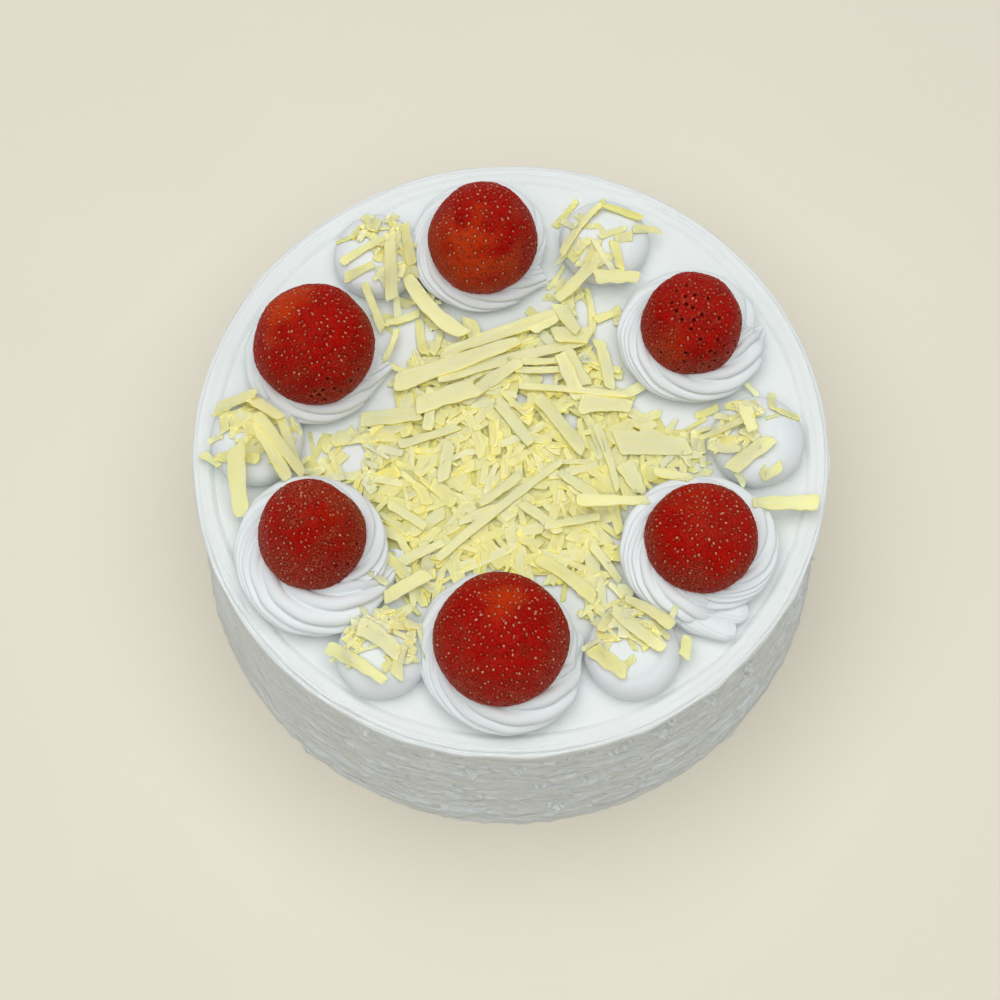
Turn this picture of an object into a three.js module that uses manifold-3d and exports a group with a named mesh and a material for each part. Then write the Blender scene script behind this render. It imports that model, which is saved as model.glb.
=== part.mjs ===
// A round whipped-cream cake, 18 cm across, as a group of closed solids in millimetres with +Z up.
// The origin is the middle of the flat underside, and -Y is the front.
// On the iced cake stand six piped rosettes with a strawberry each, and six smooth kisses of cream between
// them. A heap of white chocolate shavings lies in the middle, with more shavings on the kisses.

import * as THREE from "three";
import { mergeVertices } from "three/addons/utils/BufferGeometryUtils.js";
import Module from "manifold-3d";

const wasm = await Module();
wasm.setup();

const fullTurn = 2 * Math.PI;
const { degToRad } = THREE.MathUtils;

// Driving sizes
const joint = 0.3; // the gap left between pieces that touch

const cake = {
  height: 65, // flat top of the icing
  topRadius: 90,
  footRadius: 91.4,
  flatRadius: 84.5, // inside the raised rim
  rimRise: 1.1,
  rimWave: 0.45,
  spatulaDepth: 1, // depth of the marks on the side
  segments: 72,
};

const rosette = {
  height: 11,
  ridges: 10,
  ridgeDepth: 1.5,
  sweep: 2.6, // how far a ridge winds round on its way in, in radians for each e-fold of radius
};

const kiss = { radius: 13, height: 11.5, segments: 16 };

const strawberry = { columns: 21, rows: 8, pitDepth: 0.9, seat: 6 };

const heap = {
  radius: 36,
  armReach: 13, // how much further the heap runs between two rosettes
  armWidth: 13, // degrees
  height: 3.4,
  segments: 48,
};

const shaving = {
  thickness: 1.3,
  largeLift: 0.9, // the height of a large one's middle above the heap's core
};

// Places on the cake: turn is in degrees round from +X, out is the distance from the middle.
const rosettePlaces = [
  { turn: 97, out: 62, width: 42 },
  { turn: 32, out: 61.5, width: 42.5 },
  { turn: -32, out: 62, width: 45 },
  { turn: -92, out: 61, width: 47.5 },
  { turn: -148.5, out: 62.5, width: 47.5 },
  { turn: 154, out: 61.5, width: 41.5 },
];

// Each strawberry stands tip up on the rosette of the same number.
// x and y are from the rosette's middle, and it leans by lean degrees towards leanTurn.
const strawberrySizes = [
  { width: 31.5, height: 29, fullness: 2.0, x: 0, y: -4, lean: 5, leanTurn: 80 },
  { width: 28.5, height: 25, fullness: 2.3, x: -1, y: -1.5, lean: 4, leanTurn: 60 },
  { width: 31, height: 22, fullness: 2.2, x: -0.5, y: 0.5, lean: 5, leanTurn: 100 },
  { width: 36.5, height: 28, fullness: 2.2, x: -1, y: -0.5, lean: 4, leanTurn: 80 },
  { width: 29, height: 32, fullness: 1.7, x: -0.5, y: 0.5, lean: 6, leanTurn: 110 },
  { width: 34, height: 29, fullness: 2.1, x: 0.5, y: -2, lean: 5, leanTurn: 100 },
];

const kissPlaces = [
  { turn: 123, out: 70 },
  { turn: 66, out: 68.5 },
  { turn: 0, out: 69.5 },
  { turn: -62, out: 70 },
  { turn: -120, out: 71 },
  { turn: 179, out: 71.5 },
];

// The largest shavings of the heap: middle x and y, length, width and turn in degrees.
const largeShavings = [
  [-15, 26, 38, 5, 20],
  [-3, 33, 34, 4.4, 22],
  [-18, 15, 18, 5.7, 18],
  [18, 34, 12, 5.4, 0],
  [18, 18, 31, 2.4, -6],
  [27, 12, 16, 4.9, 0],
  [37, 0, 21, 6.3, -4],
  [27, -4, 21, 2.6, -74],
  [34, -10, 10, 4.6, -62],
  [14, 6, 21, 4, -52],
  [-3, -19, 45, 2.8, 39],
  [-18, -5, 13, 3.4, 80],
  [27, -17, 19, 3.1, -2],
  [17, -23, 17, 2.5, 12],
  [15, -37, 19, 3.7, -37],
  [-32, 9, 16, 4.6, 3],
  [17, 24, 15, 4, -69],
  [-19, 43, 22, 4.3, -46],
  [-25, -32, 14, 3, 25],
  [1, 7, 17, 3.4, -55],
];

// Shavings that lie on the flat top by themselves, in the same order
const strayShavings = [
  [78, -16.5, 12, 4.3, 5],
  [16.5, 74, 10, 2.4, 52],
  [46, 65, 9, 2.4, 17],
  [-58, -60, 8, 2.6, -35],
];

const looseShavings = {
  heapCount: 36,
  kissCount: 4,
  shortest: 8,
  longest: 17,
  longestOnKiss: 12,
  narrowest: 2.2,
  widest: 4.4,
  tilt: 12,
};

// A seeded random number from 0 to 1, the same at each run
function seededRandom(seed) {
  let state = seed;
  return () => {
    state = (state * 1664525 + 1013904223) % 4294967296;
    return state / 4294967296;
  };
}

const between = (random, low, high) => low + (high - low) * random();

function placeOf({ turn, out }) {
  const angle = degToRad(turn);
  return new THREE.Vector3(out * Math.cos(angle), out * Math.sin(angle), 0);
}

// Turns a profile of [radius, height] pairs about z, then moves each point by a rule of the piece.
function turned(profile, segments, move) {
  const outline = profile.map(([radius, height]) => new THREE.Vector2(radius, height));
  const geometry = new THREE.LatheGeometry(outline, segments);
  const position = geometry.getAttribute("position");
  for (let index = 0; index < position.count; index += 1) {
    const row = index % profile.length;
    const column = Math.floor(index / profile.length);
    const [radius, height] = profile[row];
    const angle = (column / segments) * fullTurn;
    const moved = move({ row, column, radius, height, angle });
    const x = moved.radius * Math.cos(moved.angle);
    const y = moved.radius * Math.sin(moved.angle);
    position.setXYZ(index, x, y, moved.height);
  }
  return geometry;
}

function solidOf(geometry, matrix = new THREE.Matrix4()) {
  const bare = new THREE.BufferGeometry();
  bare.setAttribute("position", geometry.getAttribute("position").clone());
  if (geometry.index) bare.setIndex(geometry.index);
  const merged = mergeVertices(bare.applyMatrix4(matrix), 1e-3);
  const mesh = new wasm.Mesh({
    numProp: 3,
    vertProperties: merged.getAttribute("position").array,
    triVerts: new Uint32Array(merged.index.array),
  });
  return new wasm.Manifold(mesh);
}

// The largest piece of a solid as a geometry, with sealed hollows filled and loose scraps dropped
function geometryOf(solid) {
  const pieces = solid.decompose();
  const largest = pieces.reduce((best, piece) => (piece.volume() > best.volume() ? piece : best));
  const mesh = largest.getMesh();
  const geometry = new THREE.BufferGeometry();
  geometry.setAttribute("position", new THREE.BufferAttribute(new Float32Array(mesh.vertProperties), 3));
  geometry.setIndex(new THREE.BufferAttribute(new Uint32Array(mesh.triVerts), 1));
  geometry.computeVertexNormals();
  return geometry;
}

const joined = (solids) => solids.reduce((whole, solid) => whole.add(solid));

// Long shallow strokes that a spatula leaves round the side
function spatulaMark(angle, height) {
  const long = Math.sin(9 * angle + 0.21 * height) * Math.sin(4 * angle - 0.13 * height + 1);
  const short = Math.sin(23 * angle - 0.35 * height + 2) * Math.cos(13 * angle + 0.28 * height);
  return cake.spatulaDepth * (0.55 * long + 0.45 * short);
}

function cakeGeometry() {
  const { height, topRadius, footRadius, flatRadius, rimRise } = cake;
  const sideHeights = [3, 14, 25, 36, 46, 55];
  const sideRadius = (level) => THREE.MathUtils.lerp(footRadius, topRadius - 0.9, level / height);
  const profile = [
    [0, 0],
    [footRadius - 1.5, 0],
    ...sideHeights.map((level) => [sideRadius(level), level]),
    [topRadius - 0.9, height - 3.4],
    [topRadius, height - 1.2],
    [topRadius - 0.8, height + 0.5 * rimRise],
    [topRadius - 2.6, height + rimRise],
    [flatRadius, height],
    [0, height],
  ];
  const firstSideRow = 2;
  const lastSideRow = firstSideRow + sideHeights.length - 1;
  const rimRows = [lastSideRow + 3, lastSideRow + 4];
  return turned(profile, cake.segments, ({ row, radius, height: level, angle }) => {
    const onSide = row >= firstSideRow && row <= lastSideRow;
    const wave = Math.sin(5 * angle + 1) + Math.sin(13 * angle);
    return {
      angle,
      radius: onSide ? radius + spatulaMark(angle, level) : radius,
      height: rimRows.includes(row) ? level + cake.rimWave * 0.5 * wave : level,
    };
  });
}

// A piped swirl. Each ridge has one column in the groove and two on the ridge, and winds round on the way in.
// grow makes the same shape larger all round, to cut its neighbours clear of it.
function rosetteGeometry(width, grow = 0) {
  const { height, ridges, ridgeDepth, sweep } = rosette;
  const radius = width / 2;
  const columnsInRidge = 3;
  const profile = [
    [0, 0],
    [0.88, 0],
    [1, 0.26],
    [0.96, 0.56],
    [0.78, 0.86],
    [0.5, 1],
    [0, 1],
  ].map(([share, level]) => [share * (radius + grow), level * (height + grow)]);
  const lastRidgeRow = 4;
  return turned(profile, ridges * columnsInRidge, (point) => {
    const ridged = point.row >= 1 && point.row <= lastRidgeRow && point.column % columnsInRidge === 0;
    const windIn = point.radius > 0 ? sweep * Math.log(point.radius / radius) : 0;
    return {
      angle: point.angle + windIn,
      radius: ridged ? point.radius - (grow ? 0 : ridgeDepth) : point.radius,
      height: ridged && point.row > 2 && !grow ? point.height - 0.5 * ridgeDepth : point.height,
    };
  });
}

// Half width of a strawberry at a share of its height, from the cut base at 0 to the tip at 1
function strawberryShare(level, fullness) {
  const widest = 0.26; // the level of the widest ring
  if (level < widest) return 0.84 + 0.16 * Math.sin((level / widest) * (Math.PI / 2));
  const up = (level - widest) / (1 - widest);
  return Math.pow(1 - Math.pow(up, fullness), 1 / 1.55);
}

// Rows are staggered by half a column, and every third point in each direction is a seed's pit.
// grow makes a plain form without pits, larger all round, to cut the berry's seat in the cream.
function strawberryGeometry({ width, height, fullness }, grow = 0) {
  const { columns, rows, pitDepth } = strawberry;
  const halfWidth = width / 2 + grow;
  const levelOf = (row) => Math.sin(((row + 0.5) / rows) * (Math.PI / 2)) ** 1.2;
  const levels = Array.from({ length: rows }, (_, row) => levelOf(row));
  const profile = [
    [0, -grow],
    [0.8 * halfWidth, -grow],
    ...levels.map((level) => [halfWidth * strawberryShare(level, fullness), level * height]),
    [0, height + grow],
  ];
  const firstPitRow = 2;
  return turned(profile, columns, (point) => {
    const pitted = !grow && point.row >= firstPitRow && (point.column + 2 * point.row) % 3 === 0;
    const share = point.radius / halfWidth;
    const depth = pitted ? pitDepth * Math.min(1, 2 * share * share) : 0;
    return {
      angle: point.angle + (point.row / 2 / columns) * fullTurn,
      radius: point.radius - depth * share,
      height: point.height - depth * Math.sqrt(1 - share * share),
    };
  });
}

// A smooth kiss of cream with one shallow spiral step
function kissGeometry() {
  const { radius, height, segments } = kiss;
  const profile = [
    [0, 0],
    [0.86, 0],
    [1, 0.28],
    [0.93, 0.52],
    [0.7, 0.78],
    [0.35, 0.95],
    [0, 1],
  ].map(([share, level]) => [share * radius, level * height]);
  return turned(profile, segments, (point) => {
    const step = 0.05 * radius * Math.sin(point.angle - (point.height / height) * 5);
    const shaped = point.row >= 3 && point.row <= 5;
    return { ...point, radius: shaped ? point.radius + step : point.radius };
  });
}

// One flat shaving: a thin bar, tilted along its length and rolled about it
function shavingSolid({ x, y, z, length, width, turn, tilt, roll }) {
  const bar = new THREE.BoxGeometry(length, width, shaving.thickness);
  const rotation = new THREE.Euler(degToRad(roll), degToRad(tilt), degToRad(turn), "ZYX");
  const matrix = new THREE.Matrix4().makeRotationFromEuler(rotation).setPosition(x, y, z);
  return solidOf(bar, matrix);
}

function heapOutline(angle) {
  const arms = kissPlaces.map(({ turn }) => {
    const away = THREE.MathUtils.euclideanModulo(THREE.MathUtils.radToDeg(angle) - turn + 180, 360) - 180;
    return Math.exp(-((away / heap.armWidth) ** 2));
  });
  return heap.radius + heap.armReach * Math.max(...arms);
}

const heapLevel = (share) => heap.height * Math.sqrt(Math.max(0, 1 - share ** 3));

function heapSurface(x, y) {
  const share = Math.hypot(x, y) / heapOutline(Math.atan2(y, x));
  return heapLevel(share);
}

function heapCoreGeometry() {
  const shares = [0.98, 0.8, 0.45];
  const profile = [[0, 0], [1, 0], ...shares.map((share) => [share, heapLevel(share)]), [0, heapLevel(0)]];
  return turned(profile, heap.segments, (point) => ({
    angle: point.angle,
    radius: point.radius * heapOutline(point.angle),
    height: point.height,
  }));
}

function lift(height) {
  return new THREE.Matrix4().makeTranslation(0, 0, height);
}

const decorLevel = cake.height + joint;

const rosetteMatrices = rosettePlaces.map((place) => {
  const turn = new THREE.Matrix4().makeRotationZ(degToRad(place.turn * 3));
  return turn.setPosition(placeOf(place).setZ(decorLevel));
});

const strawberryMatrices = strawberrySizes.map(({ x, y, lean, leanTurn }, index) => {
  const middle = placeOf(rosettePlaces[index]).add(new THREE.Vector3(x, y, decorLevel + strawberry.seat));
  const towards = degToRad(leanTurn);
  const axis = new THREE.Vector3(-Math.sin(towards), Math.cos(towards), 0);
  return new THREE.Matrix4().makeRotationAxis(axis, degToRad(lean)).setPosition(middle);
});

const kissMatrices = kissPlaces.map((place) => {
  const turn = new THREE.Matrix4().makeRotationZ(degToRad(place.turn));
  return turn.setPosition(placeOf(place).setZ(decorLevel));
});

// What the shavings and the kisses must stay clear of
const clearance = 1.5 * joint;
const grownRosettes = rosetteMatrices.map((matrix, index) =>
  solidOf(rosetteGeometry(rosettePlaces[index].width, clearance), matrix),
);
const grownStrawberries = strawberryMatrices.map((matrix, index) =>
  solidOf(strawberryGeometry(strawberrySizes[index], clearance), matrix),
);
const piped = joined([...grownRosettes, ...grownStrawberries]);
const belowTop = solidOf(
  new THREE.BoxGeometry(4 * cake.topRadius, 4 * cake.topRadius, cake.height),
  lift(decorLevel - cake.height / 2),
);

const isClear = (solid, others) => others.intersect(solid).volume() < 1e-6;

function cakeSolid() {
  const strays = strayShavings.map(([x, y, length, width, turn]) =>
    shavingSolid({ x, y, z: cake.height + 0.3 * shaving.thickness, length, width, turn, tilt: 0, roll: 0 }),
  );
  return joined([solidOf(cakeGeometry()), ...strays]);
}

function looseShaving(random, x, y, z, longest) {
  return shavingSolid({
    x,
    y,
    z,
    length: between(random, looseShavings.shortest, longest),
    width: between(random, looseShavings.narrowest, looseShavings.widest),
    turn: between(random, 0, 180),
    tilt: between(random, -looseShavings.tilt, looseShavings.tilt),
    roll: between(random, -15, 15),
  });
}

function kissSolids() {
  const others = joined([piped, belowTop]);
  return kissMatrices.map((matrix, index) => {
    const random = seededRandom(40 + index);
    const middle = new THREE.Vector3().setFromMatrixPosition(matrix);
    const cream = solidOf(kissGeometry(), matrix).subtract(piped);
    const shavings = [];
    for (let attempt = 0; attempt < 60 && shavings.length < looseShavings.kissCount; attempt += 1) {
      const angle = between(random, 0, fullTurn);
      const out = kiss.radius * between(random, 0, 0.6);
      const level = kiss.height * (1 - 0.62 * (out / kiss.radius) ** 2);
      const x = middle.x + out * Math.cos(angle);
      const y = middle.y + out * Math.sin(angle);
      const strip = looseShaving(random, x, y, decorLevel + level, looseShavings.longestOnKiss);
      if (isClear(strip, others)) shavings.push(strip);
    }
    return joined([cream, ...shavings]);
  });
}

function heapSolid(kisses) {
  const random = seededRandom(7);
  const others = joined([piped, ...kisses]);
  const core = solidOf(heapCoreGeometry(), lift(decorLevel)).subtract(others);
  const large = largeShavings.map(([x, y, length, width, turn]) =>
    shavingSolid({
      x,
      y,
      z: decorLevel + heapSurface(x, y) + shaving.largeLift,
      length,
      width,
      turn,
      tilt: between(random, -3, 3),
      roll: between(random, -8, 8),
    }),
  );
  const small = [];
  for (let attempt = 0; attempt < 400 && small.length < looseShavings.heapCount; attempt += 1) {
    const angle = between(random, 0, fullTurn);
    const out = heapOutline(angle) * Math.sqrt(random()) * 0.98;
    const x = out * Math.cos(angle);
    const y = out * Math.sin(angle);
    const z = decorLevel + heapSurface(x, y) + between(random, 0, 0.6);
    const strip = looseShaving(random, x, y, z, looseShavings.longest);
    if (isClear(strip, others)) small.push(strip);
  }
  const clearLarge = large.filter((strip) => isClear(strip, others));
  return joined([core, ...clearLarge, ...small]).subtract(belowTop);
}

// Finishes
const cream = new THREE.MeshStandardMaterial({ color: 0xf4f3ec, roughness: 0.55, metalness: 0 });
const redFruit = new THREE.MeshStandardMaterial({ color: 0xa81a12, roughness: 0.38, metalness: 0 });
const whiteChocolate = new THREE.MeshStandardMaterial({ color: 0xeee2a0, roughness: 0.5, metalness: 0 });

function named(name, geometry, material) {
  const mesh = new THREE.Mesh(geometry, material);
  mesh.name = name;
  return mesh;
}

// A solid that was cut where it stands becomes a mesh about its own middle, placed by its matrix.
function placed(name, solid, material, matrix) {
  const geometry = geometryOf(solid).applyMatrix4(matrix.clone().invert());
  const mesh = named(name, geometry, material);
  mesh.applyMatrix4(matrix);
  return mesh;
}

const group = new THREE.Group();
group.add(named("iced_cake", geometryOf(cakeSolid()), cream));

rosetteMatrices.forEach((matrix, index) => {
  const whole = solidOf(rosetteGeometry(rosettePlaces[index].width), matrix);
  const seated = whole.subtract(grownStrawberries[index]);
  group.add(placed(`rosette_${index + 1}`, seated, cream, matrix));
});

strawberryMatrices.forEach((matrix, index) => {
  const berry = named(`strawberry_${index + 1}`, strawberryGeometry(strawberrySizes[index]), redFruit);
  berry.applyMatrix4(matrix);
  group.add(berry);
});

const kisses = kissSolids();
kisses.forEach((solid, index) => {
  group.add(placed(`kiss_${index + 1}`, solid, cream, kissMatrices[index]));
});

group.add(placed("shavings_heap", heapSolid(kisses), whiteChocolate, lift(decorLevel)));

export default group;
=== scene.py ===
# Strawberry cake: its looks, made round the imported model. Metres, +Z up, the front at -Y.
# Sizes and places in the dictionaries are in millimetres and degrees, seen from above.
import math
import random

import bmesh
import bpy
import numpy as np
from mathutils import Matrix, Vector, kdtree
from mathutils.noise import noise


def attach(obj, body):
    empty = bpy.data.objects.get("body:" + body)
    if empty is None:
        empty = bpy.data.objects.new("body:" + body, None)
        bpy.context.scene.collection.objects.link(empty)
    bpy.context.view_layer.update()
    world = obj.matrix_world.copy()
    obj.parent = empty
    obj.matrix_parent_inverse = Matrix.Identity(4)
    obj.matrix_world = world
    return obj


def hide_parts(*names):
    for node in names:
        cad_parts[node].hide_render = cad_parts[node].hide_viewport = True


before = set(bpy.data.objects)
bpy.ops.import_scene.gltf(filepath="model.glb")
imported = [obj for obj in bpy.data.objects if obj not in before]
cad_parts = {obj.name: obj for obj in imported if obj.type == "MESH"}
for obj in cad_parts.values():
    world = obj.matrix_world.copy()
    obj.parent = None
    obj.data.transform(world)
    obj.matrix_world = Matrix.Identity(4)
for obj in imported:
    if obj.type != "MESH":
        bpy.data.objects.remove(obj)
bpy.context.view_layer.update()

mm = 0.001
cakeTop = 65

view = {
    "place": (-3.04, -240.75, 670.03),
    "downwards": 69.588,  # below the horizontal
    "roll": -0.382,
    "lens": 82.8,
}


def deselectAll():
    if bpy.context.object and bpy.context.object.mode != "OBJECT":
        bpy.ops.object.mode_set(mode="OBJECT")
    bpy.ops.object.select_all(action="DESELECT")


def pick(*pieces):
    deselectAll()
    for piece in pieces:
        piece.select_set(True)
    bpy.context.view_layer.objects.active = pieces[0]


def addCamera():
    tilt = Matrix.Rotation(math.radians(90 - view["downwards"]), 4, "X")
    roll = Matrix.Rotation(math.radians(view["roll"]), 4, "Z")
    place = [value * mm for value in view["place"]]
    bpy.ops.object.camera_add(location=place, rotation=(tilt @ roll).to_euler())
    camera = bpy.context.object
    camera.data.lens = view["lens"]
    camera.data.clip_start = 0.02
    bpy.context.scene.camera = camera


deselectAll()
addCamera()
print("camera set")


# Small helpers for shaping

def clamp(value, limit):
    return min(max(value, -limit), limit)


def smooth(value):
    value = min(max(value, 0), 1)
    return value * value * (3 - 2 * value)


def mix(low, high, share):
    return low + (high - low) * share


def shares(count):
    return [index / (count - 1) for index in range(count)]


def hump(distance, width):
    return math.exp(-((distance / width) ** 2))


def degreesBetween(one, other):
    return (one - other + 180) % 360 - 180


def onRing(angle, out=1, level=0):
    return Vector((out * math.cos(angle), out * math.sin(angle), level))


def placeAt(turn, out):
    return onRing(math.radians(turn), out)


def onSphere(point):
    # how far down it lies on a ball, from 0 at the top to 1, and the angle round the ball
    return math.acos(clamp(point.z, 1)) / math.pi, math.atan2(point.y, point.x)


def draw(rng, values):
    # between two values, most often near a third if there is one
    return rng.triangular(*values) if len(values) == 3 else rng.uniform(*values)


def alongPoints(value, points):
    # straight lines between points of (value, result), which run upwards
    return float(np.interp(value, [point[0] for point in points], [point[1] for point in points]))


def rows(keys, *values):
    # a dictionary for each row of values, with a key for each column
    return [dict(zip(keys.split(), row)) for row in values]


def addBall(segments, rings, radius):
    deselectAll()
    bpy.ops.mesh.primitive_uv_sphere_add(segments=segments, ring_count=rings, radius=radius)
    return bpy.context.object


def sculpt(piece, move):
    # every vertex goes where move says, in millimetres
    for vertex in piece.data.vertices:
        vertex.co = move(vertex.co / mm) * mm


def keep(piece, name, material, slotName, *nodes, crease=None):
    # edges steeper than the crease, in degrees, stay crisp
    pick(piece)
    if crease is None:
        bpy.ops.object.shade_smooth()
    else:
        bpy.ops.object.shade_smooth_by_angle(angle=math.radians(crease))
    piece.name = name
    piece.data.name = name
    piece.data.materials.clear()
    piece.data.materials.append(material)
    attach(piece, "root")
    if nodes:
        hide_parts(*nodes)


def storeOnPoints(piece, name, values):
    piece.data.attributes.new(name, "FLOAT", "POINT").data.foreach_set("value", values)


# Materials

def feed(tree, made, sockets):
    # a socket takes a link where it is given another socket, and else a constant
    for name, value in sockets.items():
        if isinstance(value, bpy.types.NodeSocket):
            tree.links.new(value, made.inputs[name])
        else:
            made.inputs[name].default_value = value


def node(tree, kind, sockets=None, **settings):
    made = tree.nodes.new("ShaderNode" + kind)
    for name, value in settings.items():
        setattr(made, name, value)
    feed(tree, made, sockets or {})
    return made


def colourMix(tree, share, *colours):
    one, other = (value if isinstance(value, bpy.types.NodeSocket) else (*value, 1) for value in colours)
    return node(tree, "Mix", {0: share, 6: one, 7: other}, data_type="RGBA").outputs[2]


def spread(tree, value, low, high, toLow=0.0, toHigh=1.0):
    return node(tree, "MapRange", {0: value, 1: low, 2: high, 3: toLow, 4: toHigh}).outputs[0]


def noiseTo(tree, value, low, high):
    # nearly all of a noise lies between 0.3 and 0.7
    return spread(tree, value, 0.3, 0.7, low, high)


def maths(tree, operation, one, other):
    return node(tree, "Math", {0: one, 1: other}, operation=operation).outputs[0]


def bump(tree, height, strength, depth, **under):
    sockets = {"Height": height, "Strength": strength, "Distance": depth, **under}
    return node(tree, "Bump", sockets).outputs[0]


def attribute(tree, name):
    return node(tree, "Attribute", attribute_name=name).outputs["Fac"]


def objectPlace(tree):
    return node(tree, "TexCoord").outputs["Object"]


def addGrainGroup():
    # fine relief that cream, chocolate and skin share: a height, and a patchy mask of larger size
    group = bpy.data.node_groups.new("fineGrain", "ShaderNodeTree")
    for name in ("Grain Size", "Patch Size", "Speck Share"):
        group.interface.new_socket(name=name, in_out="INPUT", socket_type="NodeSocketFloat")
    for name in ("Height", "Patches"):
        group.interface.new_socket(name=name, in_out="OUTPUT", socket_type="NodeSocketFloat")
    given = group.nodes.new("NodeGroupInput").outputs
    place = objectPlace(group)
    grainScale = maths(group, "DIVIDE", 1000.0, given["Grain Size"])
    patchScale = maths(group, "DIVIDE", 1000.0, given["Patch Size"])
    fine = node(group, "TexNoise", {"Vector": place, "Scale": grainScale, "Detail": 3.0})
    specks = node(group, "TexVoronoi", {"Vector": place, "Scale": grainScale})
    pores = spread(group, specks.outputs["Distance"], 0.0, 0.35)
    height = node(group, "Mix", {0: given["Speck Share"], 2: fine.outputs["Fac"], 3: pores})
    patches = node(group, "TexNoise", {"Vector": place, "Scale": patchScale, "Detail": 2.0})
    results = {"Height": height.outputs[0], "Patches": patches.outputs["Fac"]}
    feed(group, group.nodes.new("NodeGroupOutput"), results)
    return group


grainGroup = addGrainGroup()


def grain(tree, grainSize, patchSize, speckShare):
    # sizes in millimetres
    sizes = {"Grain Size": grainSize, "Patch Size": patchSize, "Speck Share": speckShare}
    made = node(tree, "Group", sizes, node_tree=grainGroup)
    return made.outputs["Height"], made.outputs["Patches"]


def newMaterial(name, **constants):
    material = bpy.data.materials.new(name)
    material.use_nodes = True
    tree = material.node_tree
    shader = tree.nodes["Principled BSDF"]
    feed(tree, shader, {socket.replace("_", " "): value for socket, value in constants.items()})
    return material, tree, shader


# relief is of the fine grain, and streaks is how deep the long marks in the side are, in metres
creamLook = {
    "icingCream": {"colours": ((0.84, 0.87, 0.86), (0.87, 0.905, 0.89)),
                   "grain": 0.9, "relief": 0.25, "streaks": 0.0024},
    # the piping's colours: the icing's cream made lighter and bluer, a painted lift of light on rosettes
    # and kisses
    "pipedCreamLightened": {"colours": ((0.865, 0.91, 0.915), (0.895, 0.94, 0.945)),
                   "grain": 0.7, "relief": 0.1, "streaks": 0},
}


def creamMaterial(name):
    look = creamLook[name]
    material, tree, shader = newMaterial(
        name, Specular_IOR_Level=0.35, IOR=1.4,
        Subsurface_Weight=0.15, Subsurface_Radius=(1.0, 0.9, 0.8), Subsurface_Scale=0.0015,
    )
    height, patches = grain(tree, look["grain"], 9.0, 0.35)
    normal = bump(tree, height, look["relief"], 0.0004)
    if look["streaks"]:
        # long marks that run round the side and sway up and down
        place = objectPlace(tree)
        flattened = node(tree, "Mapping", {"Vector": place, "Scale": (1, 1, 4.5)}).outputs[0]
        marks = node(tree, "TexNoise", {"Vector": flattened, "Scale": 85, "Detail": 4, "Distortion": 1.1})
        level = node(tree, "SeparateXYZ", {0: place}).outputs["Z"]
        sideOnly = spread(tree, level, 0.06, 0.064, 1, 0.1)
        marked = maths(tree, "MULTIPLY", marks.outputs["Fac"], sideOnly)
        normal = bump(tree, marked, 1, look["streaks"], Normal=normal)
    feed(tree, shader, {
        "Base Color": colourMix(tree, patches, *look["colours"]),
        "Roughness": noiseTo(tree, patches, 0.46, 0.6),
        "Normal": normal,
    })
    return material


berryLook = {
    "deep": (0.27, 0.001, 0.0),
    "red": (0.6, 0.005, 0.001),
    "orange": (0.74, 0.06, 0.001),
    # painted shade: the skin darkens to this towards the base
    "edge": (0.13, 0.002, 0.002),  # between the lines of the net
    # the pale net lines: a painted sheen
    "net": (0.6, 0.12, 0.055),
    # painted shade in the deep dimples
    "hole": (0.06, 0.003, 0.002),
    "netSize": 0.85,
}


def berryMaterial():
    # over the red, a pale net, painted sheen, is strongest where the net attribute is, which darkens:
    # painted shade
    material, tree, shader = newMaterial(
        "strawberrySkin", Specular_IOR_Level=0.07, IOR=1.42,
        Subsurface_Weight=0.1, Subsurface_Radius=(1.0, 0.15, 0.08), Subsurface_Scale=0.0012,
    )
    height, patches = grain(tree, 0.5, 5.0, 0.2)
    ripe, net, hole = (attribute(tree, name) for name in ("ripe", "net", "hole"))
    mesh = {"Vector": objectPlace(tree), "Scale": 1000 / berryLook["netSize"]}
    cells = node(tree, "TexVoronoi", mesh, feature="DISTANCE_TO_EDGE")
    lines = spread(tree, cells.outputs["Distance"], 0.02, 0.15, 1.0, 0.0)
    sheenLines = maths(tree, "MULTIPLY", lines, spread(tree, height, 0.36, 0.56))
    colour = colourMix(tree, patches, berryLook["deep"], berryLook["red"])
    for share, added in (
        (ripe, "orange"),
        # pale specks on the highest points of the grain: painted glints
        (spread(tree, height, 0.62, 0.72, 0.0, 0.16), "net"),
        # the net attribute darkens the skin: painted shade
        (spread(tree, net, 0.0, 1.0, 0.0, 0.7), "edge"),
        # and lays the pale net lines over it: painted sheen
        (maths(tree, "MULTIPLY", sheenLines, net), "net"),
        # the deep dimples painted dark: painted shade
        (hole, "hole"),
    ):
        colour = colourMix(tree, share, colour, berryLook[added])
    feed(tree, shader, {
        "Base Color": colour,
        "Roughness": noiseTo(tree, patches, 0.34, 0.5),
        "Normal": bump(tree, maths(tree, "ADD", height, lines), 0.6, 0.00025),
    })
    return material


seedLook = {"pale": (0.74, 0.36, 0.22), "dark": (0.42, 0.06, 0.025)}


def seedMaterial():
    material, tree, shader = newMaterial("strawberrySeeds", Specular_IOR_Level=0.15, IOR=1.45)
    _, patches = grain(tree, 0.3, 2.0, 0.1)
    feed(tree, shader, {
        "Base Color": colourMix(tree, attribute(tree, "tint"), seedLook["dark"], seedLook["pale"]),
        "Roughness": noiseTo(tree, patches, 0.3, 0.42),
    })
    return material


# deep: the gold of lower strips and the bed, a painted golden shade; rim: painted golden shade on side
# faces
chocolateLook = {"pale": (0.78, 0.785, 0.53), "deep": (0.81, 0.75, 0.19), "rim": (0.95, 0.81, 0.1)}


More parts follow.
